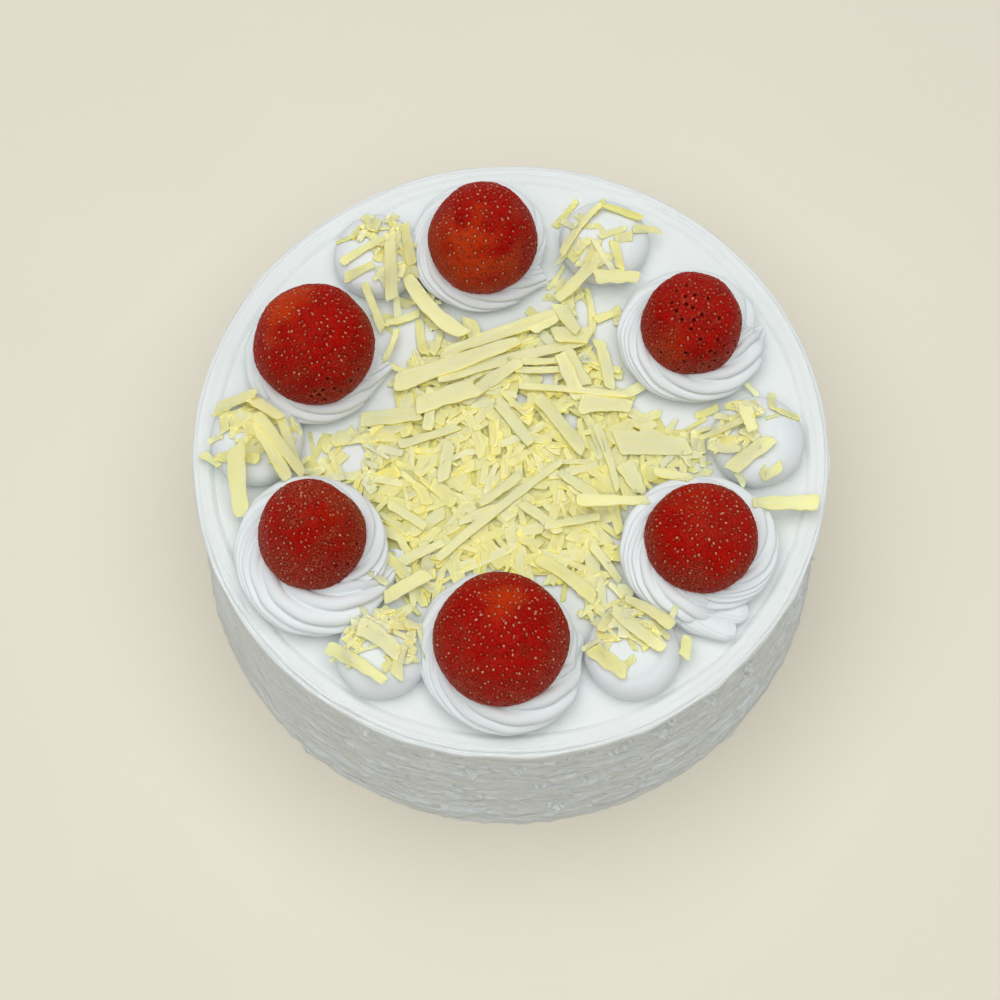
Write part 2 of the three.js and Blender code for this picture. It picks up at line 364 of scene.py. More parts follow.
def chocolateMaterial():
    # fine scrape lines run along each shaving's own UV map
    material, tree, shader = newMaterial(
        "whiteChocolate", Specular_IOR_Level=0.25, IOR=1.45,
        Subsurface_Weight=0.8, Subsurface_Radius=(1.0, 0.8, 0.25), Subsurface_Scale=0.0024,
    )
    shader.subsurface_method = "BURLEY"
    height, _ = grain(tree, 0.5, 4.0, 0.25)
    flat = node(tree, "TexCoord").outputs["UV"]
    stretched = node(tree, "Mapping", {"Vector": flat, "Scale": (1.0, 12.0, 1.0)}).outputs[0]
    lines = node(tree, "TexNoise", {"Vector": stretched, "Scale": 1.6, "Detail": 3.0}).outputs["Fac"]
    # the tint is random tone, and deeper gold for lower strips and the bed: painted shade
    toneAndLayerShade = maths(tree, "ADD", attribute(tree, "tint"), noiseTo(tree, lines, -0.3, 0.3))
    colour = colourMix(tree, toneAndLayerShade, chocolateLook["deep"], chocolateLook["pale"])
    feed(tree, shader, {
        # side faces take the rim colour: a painted golden shade
        "Base Color": colourMix(tree, attribute(tree, "rim"), colour, chocolateLook["rim"]),
        "Roughness": noiseTo(tree, lines, 0.38, 0.55),
        "Normal": bump(tree, maths(tree, "ADD", lines, height), 0.2, 0.0003),
    })
    return material


icingCream = creamMaterial("icingCream")
pipedCreamLightened = creamMaterial("pipedCreamLightened")
strawberrySkin = berryMaterial()
strawberrySeeds = seedMaterial()
whiteChocolate = chocolateMaterial()
print("materials ready")


# The iced cake: a cylinder with rows round its side and rings in its top, then spread like cream

icing = {
    "columns": 720,
    "sideCuts": 88,
    "insets": ((0.3, 14), (0.5, 8), (1.0, 5), (6.5, 11)),  # width of a ring, and how many
    "footRadius": 91.2,
    "neckRadius": 88.8,
    "rimRadius": 89.9,
    "spatulaDepth": 0.7,
    "crease": 32,
    "smoothTurn": -155,  # the side is smoother here
    "smoothHalf": 34,
    "lipLevel": 61.6,  # a thin lip stands out from here up
    "lipOut": 1.2,
    "grooveLevel": 61.2,  # a groove runs under the lip
    "groove": 0.45,
    "footLevel": 11,  # the foot spreads from here down
    "footOut": 2.3,
    "footRagged": 0.8,
}

# the thin ledges that the spatula left all over the side
dabs = {
    "count": 1500,
    "levels": (3, 61),
    "halfWidth": (2, 10, 4),
    "height": (1.2, 3.6),
    "reach": (0.15, 1.3, 0.45),
    "slope": (-0.2, 0.2),
    "arch": (-0.01, 0.03),
    "scallop": 0.2,  # how much less the middle of a ledge stands out than its ends
    "clear": 4.5,  # how far above and below a point the side has no ledges
}

# turn, level, how far out and half the width of the small points that the spatula pulled up
sidePeaks = (
    (-98.9, 59, 1.6, 1.5), (-97.1, 46.5, 2.4, 2.1), (-88.9, 49.5, 1.9, 2.4), (-80.5, 55.5, 1.5, 1.5),
    (-76.8, 60, 1.4, 1.5), (-71.8, 52.5, 1.8, 1.5), (-70, 55, 2.0, 1.4), (-68.8, 59.5, 1.4, 1.2),
    (-62.9, 55.5, 2.4, 2.0), (-61.1, 59, 2.4, 1.4), (-60.3, 41, 1.5, 1.2), (-52.7, 56, 2.8, 2.0),
    (-43, 53, 2.4, 1.5), (-43.1, 47, 1.8, 2.4), (-80.5, 26, 1.6, 1.6), (-76.8, 33, 1.5, 1.5),
    (-79.1, 47, 1.1, 1.5), (-91.7, 36, 1.2, 2), (-82, 10.5, 1.5, 4), (-85.1, 32, 1.2, 3.5),
    (-104.2, 61, 2.0, 1.6), (-110.8, 55, 1.2, 1.4), (-116.4, 57, 1.5, 2.6), (-31, 57, 1.9, 1.6),
    (-17, 45, 1.7, 1.4), (-5, 58, 2.0, 1.6), (8, 50, 1.6, 1.5), (22, 57, 2.2, 1.7), (36, 42, 1.6, 1.4),
    (51, 55, 1.9, 1.6), (63, 47, 1.7, 1.5), (77, 59, 2.2, 1.8), (91, 40, 1.6, 1.6), (104, 56, 2.0, 1.5),
    (118, 48, 1.7, 1.6), (131, 58, 1.9, 1.7), (147, 45, 1.6, 1.5), (160, 57, 2.0, 1.6), (174, 50, 1.5, 1.4),
)

# radius and rise of the rim, from the flat top outwards
rimProfile = (
    (80, 0), (82.7, 0), (83.4, -0.25), (84.2, 0.55), (84.9, 1.05), (86.3, 0.95), (87.1, 0.55), (87.6, 1.05),
    (88.7, 1.45), (89.3, 1.15), (90, 0.3),
)

# turn, distance from the middle, width and rise of the small lumps on the rim
rimLumps = ((-147.7, 88.8, 3.0, 0.9), (-119.8, 88.3, 3.6, 1.0), (-11.6, 89.4, 1.3, 0.7), (64, 88.6, 3, 0.6))

# thin lines just inside the edge: radius, depth, how far they wander and width
rimLines = ((89.0, 1.3, 0.35, 0.36), (88.0, 0.6, 0.5, 0.34))

# how far the ledges and points stand out, by level and turn
sideLevels = np.linspace(0, cakeTop, icing["sideCuts"] + 2)
sideRelief = np.zeros((len(sideLevels), icing["columns"]))


def roughness(turn):
    return mix(0.25, 1, smooth(abs(degreesBetween(turn, icing["smoothTurn"])) / icing["smoothHalf"] - 0.3))


def pressLedge(turn, reach, heightAt, edgeAt, outAt):
    # a ledge that faces up; the last three give its height, level and depth along it
    step = 360 / icing["columns"]
    columnWidth = math.radians(step) * icing["rimRadius"]
    count = math.ceil(reach / columnWidth)
    offsets = np.arange(-count, count + 1)
    columns = (round((turn + 180) / step) + offsets) % icing["columns"]
    along = offsets * columnWidth
    out = outAt(along)
    below = (edgeAt(along) - sideLevels[:, None]) / heightAt(along)
    ledge = out * (1 - below.clip(0, 1)) ** 1.3 * (below >= 0)
    hollow = -0.3 * out * np.exp(-((below - 1.05) / 0.35) ** 2)
    here = sideRelief[:, columns]
    sideRelief[:, columns] = np.where(ledge > here, ledge, here + hollow)


def pressDab(rng):
    turn, top, halfWidth = rng.uniform(-180, 180), draw(rng, dabs["levels"]), draw(rng, dabs["halfWidth"])
    for peakTurn, level, _, reach in sidePeaks:
        beside = math.radians(abs(degreesBetween(turn, peakTurn))) * icing["rimRadius"]
        if beside < halfWidth + reach and abs(top - level) < dabs["clear"]:
            return
    ends = draw(rng, dabs["reach"]) * roughness(turn)
    slope, arch, height = (draw(rng, dabs[name]) for name in ("slope", "arch", "height"))

    def edgeAt(along):
        return top + slope * along - arch * along ** 2

    def outAt(along):
        share = np.abs(along / halfWidth).clip(0, 1)
        return ends * (1 - dabs["scallop"] * (1 - share)) * ((1 - share) / 0.25).clip(0, 1)

    pressLedge(turn, halfWidth, lambda along: height, edgeAt, outAt)


def pressPeak(turn, top, out, halfWidth):
    # a small point, with a thin ledge that arches up and away on either side of it
    wings = 5 * halfWidth + 3

    def heightAt(along):
        return 1.0 + (0.5 + 1.2 * out) * np.exp(-(along / halfWidth) ** 2)

    def edgeAt(along):
        return top + 2.4 * (1 - np.exp(-np.abs(along) / (1.1 * halfWidth)))

    def outAt(along):
        point = np.cos((along / halfWidth).clip(-1, 1) * math.pi / 2) ** 1.5
        return 1.25 * out * (0.7 * point + 0.3 * (1 - np.abs(along) / wings).clip(0, 1))

    pressLedge(turn, wings, heightAt, edgeAt, outAt)


sideRandom = random.Random(3)
for _ in range(dabs["count"]):
    pressDab(sideRandom)
for sidePeak in sidePeaks:
    pressPeak(*sidePeak)


def reliefAt(turn, level):
    column = round((turn + 180) / 360 * icing["columns"]) % icing["columns"]
    row = round(level / cakeTop * (icing["sideCuts"] + 1))
    return float(sideRelief[row, column])


def spatulaMark(angle, level):
    long = math.sin(9 * angle + 0.21 * level) * math.sin(4 * angle - 0.13 * level + 1)
    short = math.sin(23 * angle - 0.35 * level + 2) * math.cos(13 * angle + 0.28 * level)
    return icing["spatulaDepth"] * (0.55 * long + 0.45 * short)


def sideRadius(angle, turn, around, level):
    x, y = around.x, around.y
    radius = mix(icing["footRadius"], icing["neckRadius"], level / cakeTop)
    calm = smooth((level - 1) / 3) * smooth((63.5 - level) / 3)
    rough = roughness(turn)
    radius += calm * spatulaMark(angle, level)
    radius += calm * (reliefAt(turn, level) - 0.2 * rough)
    radius += calm * 0.42 * rough * noise((x / 7, y / 7, level / 1.8))
    radius += calm * 0.9 * noise((x / 11, y / 11, level / 4))
    lip = icing["lipOut"] * smooth((level - icing["lipLevel"]) / 1.8)
    radius += lip - icing["groove"] * hump(level - icing["grooveLevel"], 0.7)
    radius += icing["footOut"] * max(0, (icing["footLevel"] - level) / icing["footLevel"]) ** 1.5
    ragged = max(0, noise((x / 2.6, y / 2.6, 3))) + max(0, noise((x / 6, y / 6, 8)))
    radius += icing["footRagged"] * (ragged - 0.35) * smooth((2.4 - level) / 2.4)
    return radius


def rimRise(turn, around, radius):
    x, y = around.x, around.y
    wander = 0.8 * noise((x / 28, y / 28, 1)) + 0.25 * noise((x / 7, y / 7, 2))
    tall = 0.9 + 0.45 * noise((x / 20, y / 20, 5))
    rise = tall * alongPoints(radius + wander * smooth((90 - radius) / 2), rimProfile)
    # the lines are deepest at the front left
    lined = 0.3 + 0.7 * smooth(1.6 - abs(degreesBetween(turn, -120)) / 32)
    for out, depth, sway, width in rimLines:
        rise -= depth * lined * hump(radius - out - sway * wander, width)
    for lumpTurn, out, width, tallness in rimLumps:
        away = math.hypot(math.radians(degreesBetween(turn, lumpTurn)) * out, 1.5 * (radius - out)) / width
        if away < 2:
            crack = abs(noise((x / 0.9, y / 0.9, radius)))
            rise += tallness * hump(away, 1) * (1.2 - 1.4 * crack)
    return rise


def icedPlace(place):
    angle = math.atan2(place.y, place.x)
    turn = math.degrees(angle)
    out = math.hypot(place.x, place.y)
    around = onRing(angle)
    if place.z > cakeTop - 0.01:
        radius = out * icing["rimRadius"] / icing["footRadius"]
        radius += 0.5 * noise(around * 9) * smooth((radius - 84) / 4)
        level = cakeTop + rimRise(turn, around * 90, radius)
        level += 0.2 * noise((around.x * radius / 22, around.y * radius / 22, 4))
        level += 0.06 * math.sin(radius * 1.1 + 3 * noise(around * 2)) * smooth((radius - 50) / 20)
    elif out > 0.5 * icing["footRadius"]:
        level = place.z
        radius = sideRadius(angle, turn, around * 90, level)
        radius += 0.5 * noise(around * 9) * smooth((level - 58) / 5)
    else:
        level, radius = place.z, out
    return Vector((radius * around.x, radius * around.y, level))


def selectWhere(cake, kind, chosen):
    bpy.ops.mesh.select_mode(type=kind)
    bpy.ops.mesh.select_all(action="DESELECT")
    shape = bmesh.from_edit_mesh(cake.data)
    for part in shape.edges if kind == "EDGE" else shape.faces:
        part.select_set(chosen(part))
    bmesh.update_edit_mesh(cake.data)


def addIcedCake():
    height = cakeTop * mm
    radius = icing["footRadius"] * mm
    bpy.ops.mesh.primitive_cylinder_add(
        vertices=icing["columns"], radius=radius, depth=height, location=(0, 0, height / 2)
    )
    cake = bpy.context.object
    bpy.ops.object.transform_apply(location=True)
    bpy.ops.object.mode_set(mode="EDIT")
    selectWhere(cake, "EDGE", lambda edge: abs(edge.verts[0].co.z - edge.verts[1].co.z) > 0.5 * height)
    bpy.ops.mesh.subdivide_edgering(number_cuts=icing["sideCuts"], interpolation="LINEAR")
    selectWhere(cake, "FACE", lambda face: face.normal.z > 0.9)
    for width, count in icing["insets"]:
        for _ in range(count):
            bpy.ops.mesh.inset(thickness=width * mm, depth=0)
    bpy.ops.mesh.poke()
    bpy.ops.object.mode_set(mode="OBJECT")
    sculpt(cake, icedPlace)
    keep(cake, "icedCakeFinish", icingCream, "cream", "iced_cake", crease=icing["crease"])
    return cake


deselectAll()
icedCake = addIcedCake()
print("cake iced:", len(icedCake.data.vertices), "vertices")


# The rosettes: a rope of cream from a star nozzle, wound round and once over itself

piping = {
    "teeth": 14,
    "toothPoints": 10,
    "valley": 0.34,  # depth of a valley, of the rope's radius
    "plainValley": 0.06,  # for the tongues
    "crowd": 0.3,  # how uneven the teeth are: they are fine on two sides and broad between
    "ropeRadius": 8.2,
    "flatten": 0.7,
    "twist": 0.75,  # how far the ridges turn for each radian round the rosette
    "innerOut": 9,
    "turns": 1.3,
    "pathPoints": 110,
    "tonguePoints": 40,
    "moundRadius": 13,  # of the cream in the middle
    "moundHeight": 0.6,
}

# end: where the rope stops; tip: how far out and how thick it is there; tail: how far back it thins
rosettes = rows(
    "turn out width end tip tail rope",
    (97, 62, 42, -25, (18, 0.6), 35, 0.95),
    (32, 61.5, 42.5, 10, (17, 0.65), 30, 1.02),
    (-32, 62, 45, -75, (18, 0.45), 35, 1.0),
    (-92, 61, 47.5, 15, (20, 0.3), 60, 1.08),
    (-148.5, 62.5, 47.5, 4, (22.5, 0.22), 65, 1.05),
    (154, 61.5, 41.5, -3, (19, 0.5), 40, 0.98),
)

# ends that run on past the rope, by rosette: from turn, to turn, from out, to out, radius
tongues = {3: ((-138, -70, 15, 24, 4.0), (-128, -54, 12.5, 20.5, 3.8))}


def addCurve(points, closed=False):
    # a path primitive through points of place, in millimetres, radius and tilt
    deselectAll()
    bpy.ops.curve.primitive_nurbs_path_add()
    curve = bpy.context.object
    curve.data.splines.clear()
    spline = curve.data.splines.new("POLY")
    spline.points.add(len(points) - 1)
    spline.use_cyclic_u = closed
    for point, (place, radius, tilt) in zip(spline.points, points):
        point.co = (*(value * mm for value in place), 1)
        point.radius, point.tilt = radius, tilt
    return curve


def addNozzle(depth):
    count = piping["teeth"] * piping["toothPoints"]
    points = []
    for index in range(count):
        around = 2 * math.pi * index / count
        angle = around + piping["crowd"] * math.sin(2 * around)
        ridge = abs(math.sin(piping["teeth"] * around / 2)) ** 0.6
        valley = depth * (0.8 + 0.3 * math.sin(3 * around))
        radius = piping["ropeRadius"] * (1 - valley * (1 - ridge))
        points.append(((radius * math.cos(angle), radius * math.sin(angle), 0), 1, 0))
    return addCurve(points, closed=True)


def sweep(path, nozzle):
    path.data.bevel_mode = "OBJECT"
    path.data.bevel_object = nozzle
    path.data.use_fill_caps = True
    path.data.twist_mode = "Z_UP"
    pick(path)
    bpy.ops.object.convert(target="MESH")
    return bpy.context.object


def addRope(number, rosette, nozzle):
    outerOut = rosette["width"] / 2 - piping["ropeRadius"] * rosette["rope"]
    tipOut, tipThick = rosette["tip"]
    points = []
    for share in shares(piping["pathPoints"]):
        back = (1 - share) * piping["turns"] * 360
        turn = rosette["end"] - back
        ending = max(0, 1 - back / rosette["tail"])
        out = mix(piping["innerOut"], outerOut, smooth(share * 1.6))
        out = mix(out, tipOut, ending ** 1.6)
        squeeze = 1 + 0.05 * math.sin(math.radians(2.3 * turn) + number)
        thick = rosette["rope"] * smooth(share / 0.12 + 0.25) * squeeze
        thick = mix(thick, tipThick * rosette["rope"], smooth(ending))
        level = piping["ropeRadius"] * thick * 0.84 + 0.8 * math.sin(math.pi * share)
        place = placeAt(turn, out) + Vector((0, 0, level))
        points.append((place, thick, piping["twist"] * math.radians(turn)))
    return sweep(addCurve(points), nozzle)


def addTongue(tongue, plain):
    fromTurn, toTurn, fromOut, toOut, radius = tongue
    points = []
    for share in shares(piping["tonguePoints"]):
        place = placeAt(mix(fromTurn, toTurn, share), mix(fromOut, toOut, share ** 1.5))
        place += Vector((0, 0, 0.9 * radius + 2.0 * (1 - share)))
        thick = (1.1 - 0.3 * share ** 2) * (1 - 0.3 * max(0, share - 0.93) / 0.07)
        points.append((place, thick * radius / piping["ropeRadius"], 1.2 * share))
    return sweep(addCurve(points), plain)


def addMound():
    mound = addBall(32, 16, piping["moundRadius"] * mm)
    sculpt(mound, lambda place: Vector((place.x, place.y, piping["moundHeight"] * place.z)))
    return mound


def addRosette(number, rosette, nozzle, plain):
    parts = [addRope(number, rosette, nozzle)]
    parts += [addTongue(tongue, plain) for tongue in tongues.get(number, ())]
    parts.append(addMound())
    pick(*parts)
    bpy.ops.object.join()
    piece = parts[0]
    middle = placeAt(rosette["turn"], rosette["out"])

    def settle(place):
        shift = Vector((5 * number, 0, 0))
        uneven = noise(place / 7 + shift)
        fine = noise(place / 2.2 + shift)
        out = 1 + (0.5 * uneven + 0.12 * fine) / 22
        level = max(-0.6, place.z * piping["flatten"]) + 0.25 * uneven + 0.1 * fine
        return Vector((place.x * out, place.y * out, level)) + middle + Vector((0, 0, cakeTop))

    sculpt(piece, settle)
    keep(piece, f"rosettePiping_{number}", pipedCreamLightened, "cream", f"rosette_{number}")
    return piece


nozzle = addNozzle(piping["valley"])
plain = addNozzle(piping["plainValley"])
rosettePieces = [addRosette(number, rosette, nozzle, plain) for number, rosette in enumerate(rosettes, 1)]
bpy.data.objects.remove(nozzle)
bpy.data.objects.remove(plain)
print("rosettes piped:", [len(piece.data.polygons) for piece in rosettePieces])


# The kisses: smooth domes from a plain nozzle

kiss = {
    "radius": 13,
    "height": 11.4,
    "domeEnds": 0.66,  # how far down the surface it bends out, and then in to the foot
    "footStarts": 0.8,
    "waist": 0.28,  # level of its widest part
    "foot": 0.88,
    "spiral": 0.14,
}

kisses = rows(
    "turn out size twist",
    (123, 70, 1.0, 20),
    (66, 68.5, 1.0, 140),
    (0, 69.5, 1.03, 250),
    (-62, 70, 1.0, 70),
    (-120, 71, 0.97, 190),
    (179, 71.5, 1.02, 310),
)


def addKiss(number, place):
    piece = addBall(128, 96, mm)
    middle = placeAt(place["turn"], place["out"])
    radius, height = kiss["radius"] * place["size"], kiss["height"] * place["size"]

    def dome(point):
        down, angle = onSphere(point)
        if down < kiss["domeEnds"]:
            bend = down / kiss["domeEnds"] * math.pi / 2
            out, level = math.sin(bend), mix(kiss["waist"], 1, math.cos(bend) ** 0.85)
        elif down < kiss["footStarts"]:
            fall = (down - kiss["domeEnds"]) / (kiss["footStarts"] - kiss["domeEnds"])
            out, level = mix(1, kiss["foot"], fall ** 2), kiss["waist"] * (1 - fall)
        else:
            out, level = kiss["foot"] * (1 - down) / (1 - kiss["footStarts"]), 0
        # a shallow groove winds in to the top, where the nozzle let go
        winding = (out * 2.2 + (angle + math.radians(place["twist"])) / (2 * math.pi)) % 1
        groove = kiss["spiral"] * hump(winding - 0.5, 0.16) * smooth(out * 4) * smooth((1 - out) * 4)
        lean = 0.4 * noise(onRing(angle, 2, 3 * number + level))
        reach = out * radius + lean * out
        return Vector((
            middle.x + reach * math.cos(angle),
            middle.y + reach * math.sin(angle),
            cakeTop + level * height - groove,
        ))

    sculpt(piece, dome)
    keep(piece, f"kissPiping_{number}", pipedCreamLightened, "cream", f"kiss_{number}")
    return piece


kissPieces = [addKiss(number, place) for number, place in enumerate(kisses, 1)]
print("kisses piped")


# The strawberries: tip up, with a dimple round each seed

berry = {
    "subdivisions": 7,
    "widest": 0.26,  # share of the height at which it is widest
    "base": 0.84,  # width of the cut base, of the widest
    "skinRows": 300,
    "baseRows": 20,
    "baseLevel": 71.3,
    "spacing": 3.3,  # from one seed to the next at the widest
    "jitter": 0.6,
    "spiral": 137.508,  # degrees from one seed to the next
    "pitRadius": 1.1,
    "pitDepth": 0.4,
    "knob": 0.14,
    "holeRadius": 0.58,
    "holeDepth": 0.8,
    "holesApart": 2.1,
    "lump": 0.55,
}

# Each stands on the rosette of the same number; x and y are from the rosette's middle.
# the orange patch: its strength, turn, height share and radius
# holes: spots of deep dimples painted dark, a painted shade, with the share of them, turn, height share and
# radius
# net: how strong the net is round the base, there painted sheen and shade, and at the tip; pale: the seeds
berries = rows(
    "width height fullness x y lean leanTurn ripe holes net pale",
    (31.5, 30, 1.75, 0, -4, 6, 80, (0.9, -110, 0.4, 17), (), (0.65, 0.1), 0.85),
    (28.5, 25, 2.3, -1, -1.5, 4, 60, (0.5, -120, 0.4, 9), ((0.6, -95, 0.95, 6.5), (0.8, -65, 0.12, 14)),
     (0.75, 0.15), 0.6),
    (31, 22, 2.2, -0.5, 0.5, 5, 100, (0.15, 100, 0.9, 9), (), (0.75, 0.2), 0.85),
    (36.5, 28.5, 1.95, -1, -0.5, 5, 80, (0.6, 80, 0.95, 7.5), (), (0.75, 0.05), 0.9),
    (29.5, 33, 1.42, -0.5, 0.3, 9, 110, (0.25, 0, 0.8, 9), ((0.3, -40, 0.2, 7),), (0.85, 0.65), 0.85),
    (34, 29, 2.1, 0.5, -2, 5, 100, (0.7, 150, 0.85, 11), ((1, -68, 0.2, 8.5),), (0.6, 0.05), 0.85),
)


def berryShare(level, fullness):
    widest = berry["widest"]
    if level < widest:
        return mix(berry["base"], 1, math.sin(level / widest * math.pi / 2))
    up = (level - widest) / (1 - widest)
    return max(0, 1 - up ** fullness) ** (1 / 1.55)


def berryOutline(look):
    # points from the tip down to the cut base and in to its middle, with the length and area up to each
    points = []
    for row in range(berry["skinRows"] + 1):
        level = 1 - (row / berry["skinRows"]) ** 2
        points.append((look["width"] / 2 * berryShare(level, look["fullness"]), level * look["height"]))
    for row in range(1, berry["baseRows"] + 1):
        points.append((points[berry["skinRows"]][0] * (1 - row / berry["baseRows"]), 0))
    outline = np.array(points)
    steps = np.hypot(*np.diff(outline, axis=0).T)
    length = np.concatenate([[0], np.cumsum(steps)])
    area = np.concatenate([[0], np.cumsum(steps * (outline[1:, 0] + outline[:-1, 0]))]) * math.pi
    return outline, length, area


def berryMatrix(number):
    look, rosette = berries[number - 1], rosettes[number - 1]
    middle = placeAt(rosette["turn"], rosette["out"]) + Vector((look["x"], look["y"], berry["baseLevel"]))
    towards = math.radians(look["leanTurn"])
    axis = Vector((-math.sin(towards), math.cos(towards), 0))
    return Matrix.Translation(middle) @ Matrix.Rotation(math.radians(look["lean"]), 4, axis)


def plainSkin(number, look, outline, length):
    def skinAt(share, angle):
        # share is of the way from the tip to the middle of the base
        reach = share * length[-1]
        radius = np.interp(reach, length, outline[:, 0])
        level = np.interp(reach, length, outline[:, 1])
        around = onRing(angle, 1, 2 * level / look["height"])
        lump = berry["lump"] * noise(around * 1.6 + Vector((9 * number, 0, 0)))
        radius += lump * min(1, radius / 6)
        return onRing(angle, radius, float(level))

    return skinAt


def skinSpot(look, turn, height):
    # the place on the skin at a turn and a share of the height
    spot = placeAt(turn, look["width"] / 2 * berryShare(height, look["fullness"]))
    spot.z = height * look["height"]
    return spot


def seedPlaces(number, look, skinAt, outline, length, area):
    # a golden spiral, closer towards the tip, pushed about so that no rows show
    rng = random.Random(70 + number)
    skin = berry["skinRows"] + 1
    weights = [value * (1 + 0.9 * (1 - value / area[skin - 1])) for value in area[:skin]]
    count = int(weights[-1] / (0.866 * berry["spacing"] ** 2) * 1.15)
    spots = [(share, skinSpot(look, turn, height), radius) for share, turn, height, radius in look["holes"]]
    places = []
    for index in range(count):
        target = (index + 0.6) / count * weights[-1]
        reach = float(np.interp(target, weights, length[:skin])) + rng.gauss(0, berry["jitter"])
        share = min(max(reach / length[-1], 0.002), length[skin - 1] / length[-1])
        radius = max(1, float(np.interp(reach, length, outline[:, 0])))
        angle = index * math.radians(berry["spiral"]) + rng.gauss(0, berry["jitter"]) / radius
        here = skinAt(share, angle)
        down = (skinAt(share + 0.004, angle) - here).normalized()
        normal = down.cross(skinAt(share, angle + 0.02) - here).normalized()
        chances = [most * smooth(1.5 - (here - spot).length / wide) for most, spot, wide in spots]
        isHole = rng.random() < max(chances, default=0) and all(
            (here - other["place"]).length > berry["holesApart"] for other in places if other["hole"]
        )
        places.append({"place": here, "normal": normal, "down": down, "hole": isHole})
    return places


def addBerry(number, look):
    deselectAll()
    bpy.ops.mesh.primitive_ico_sphere_add(subdivisions=berry["subdivisions"], radius=mm)
    piece = bpy.context.object
    outline, length, area = berryOutline(look)
    skinAt = plainSkin(number, look, outline, length)
    seeds = seedPlaces(number, look, skinAt, outline, length, area)
    tree = kdtree.KDTree(len(seeds))
    for index, seed in enumerate(seeds):
        tree.insert(seed["place"], index)
    tree.balance()
    toCake = berryMatrix(number)
    orangeStrength, orangeTurn, orangeHeight, orangeRadius = look["ripe"]
    baseShadeAndSheen, netTip = look["net"]
    orangeSpot = skinSpot(look, orangeTurn, orangeHeight)
    orangeShares, shadeAndSheen, holes = [], [], []

    def swell(point):
        place = skinAt(*onSphere(point))
        _, index, away = tree.find(place)
        seed = seeds[index]
        kind = "hole" if seed["hole"] else "pit"
        near = max(0, 1 - (away / berry[kind + "Radius"]) ** 2)
        height = place.z / look["height"]
        patch = noise(place / 6 + Vector((3 * number, 7, 0)))
        orangeShares.append(orangeStrength * smooth(1.15 - (place - orangeSpot).length / orangeRadius + 0.8 * patch))
        # round each dark hole a ring of the same painted shade and sheen
        rim = 0.7 * hump(away - 1.05, 0.3) if seed["hole"] else 0
        # darker and netted towards the base, where the skin turns away: painted shade and painted sheen
        edge = baseShadeAndSheen * smooth(1.4 - 1.65 * height + 0.5 * patch)
        # the tip is darker and netted too
        shadeAndSheen.append(edge + netTip * smooth(3.5 * height - 2.5 + patch) + rim)
        # the deep dimples painted dark, and the bottom of every pit a little: painted shade
        holes.append(smooth(1.8 * near) if seed["hole"] else 0.25 * near ** 2)
        knob = noise(place / 0.8) + 0.5 * noise(place / 0.45 + Vector((4, 0, 0)))
        out = berry["knob"] * knob - berry[kind + "Depth"] * near ** 1.4
        return toCake @ (place + seed["normal"] * out)

    sculpt(piece, swell)
    for name, values in (("ripe", orangeShares), ("net", shadeAndSheen), ("hole", holes)):
        storeOnPoints(piece, name, values)
    keep(piece, f"strawberrySkin_{number}", strawberrySkin, "strawberry", f"strawberry_{number}")
    return piece, seeds


def addSeedModel():
    seed = addBall(7, 5, 1)
    bpy.ops.object.mode_set(mode="EDIT")
    bpy.ops.mesh.select_all(action="SELECT")
    bpy.ops.transform.resize(value=(0.52, 0.36, 0.28))
    bpy.ops.object.mode_set(mode="OBJECT")
    for vertex in seed.data.vertices:  # one end is pointed
        if vertex.co.x < 0:
            vertex.co.y *= 1 + vertex.co.x
            vertex.co.z *= 1 + 0.7 * vertex.co.x
    return seed


def meshOfCopies(name, model, copies, tints, flats=()):
    # one mesh of many copies of a model, each with its own vertex places in metres, its own tint
    # and, in flats, the scale and shift of its UV map
    count = len(model.data.vertices)
    faces = [tuple(face.vertices) for face in model.data.polygons]
    starts = range(0, count * len(copies), count)
    allFaces = [tuple(index + start for index in face) for start in starts for face in faces]
    mesh = bpy.data.meshes.new(name)
    mesh.from_pydata(np.concatenate(copies).tolist(), [], allFaces)
    if flats:
        flat = np.zeros(2 * len(model.data.loops))
        model.data.uv_layers[0].data.foreach_get("uv", flat)
        flat = flat.reshape(-1, 2)
        placed = [flat * scale + shift for scale, shift in flats]
        layer = mesh.uv_layers.new(name="UVMap")
        layer.data.foreach_set("uv", np.concatenate(placed).ravel())
    piece = bpy.data.objects.new(name, mesh)
    bpy.context.collection.objects.link(piece)
    storeOnPoints(piece, "tint", np.repeat(tints, count).astype(np.float32))
    return piece


def addSeeds(allSeeds):
    model = addSeedModel()
    rng = random.Random(5)
    shape = np.array([vertex.co for vertex in model.data.vertices])
    copies, tints = [], []
    for number, seeds in enumerate(allSeeds, 1):
        toCake = berryMatrix(number)
        for seed in seeds:
            place, normal, down = seed["place"], seed["normal"], seed["down"]
            if seed["hole"] or place.z < 1.5:
                continue
            facing = Matrix((-down, normal.cross(-down), normal)).transposed().to_4x4()
            sway = Matrix.Rotation(rng.uniform(-0.5, 0.5), 4, "Z")
            size = rng.uniform(0.6, 1.1)
            sunk = place - normal * (berry["pitDepth"] - 0.12)
            matrix = np.array(toCake @ Matrix.Translation(sunk) @ facing @ sway)
            corners = np.c_[shape * size, np.ones(len(shape))] @ matrix.T
            copies.append(corners[:, :3] * mm)
            tints.append(berries[number - 1]["pale"] * rng.random() ** 1.4)
    piece = meshOfCopies("strawberrySeeds", model, copies, tints)
    bpy.data.objects.remove(model)
    keep(piece, "strawberrySeeds", strawberrySeeds, "strawberry")


berryPieces, allSeeds = zip(*(addBerry(number, look) for number, look in enumerate(berries, 1)))
addSeeds(allSeeds)
print("strawberries set:", [len(seeds) for seeds in allSeeds], "seeds")


# The shavings: each is laid on what is under it, which a height map keeps

ground = {"step": 0.5, "reach": 92.0, "edge": 88.5}  # no shaving goes past the edge
groundCount = int(2 * ground["reach"] / ground["step"]) + 1
groundHeight = np.full((groundCount, groundCount), float(cakeTop))
groundBlocked = np.zeros((groundCount, groundCount), bool)

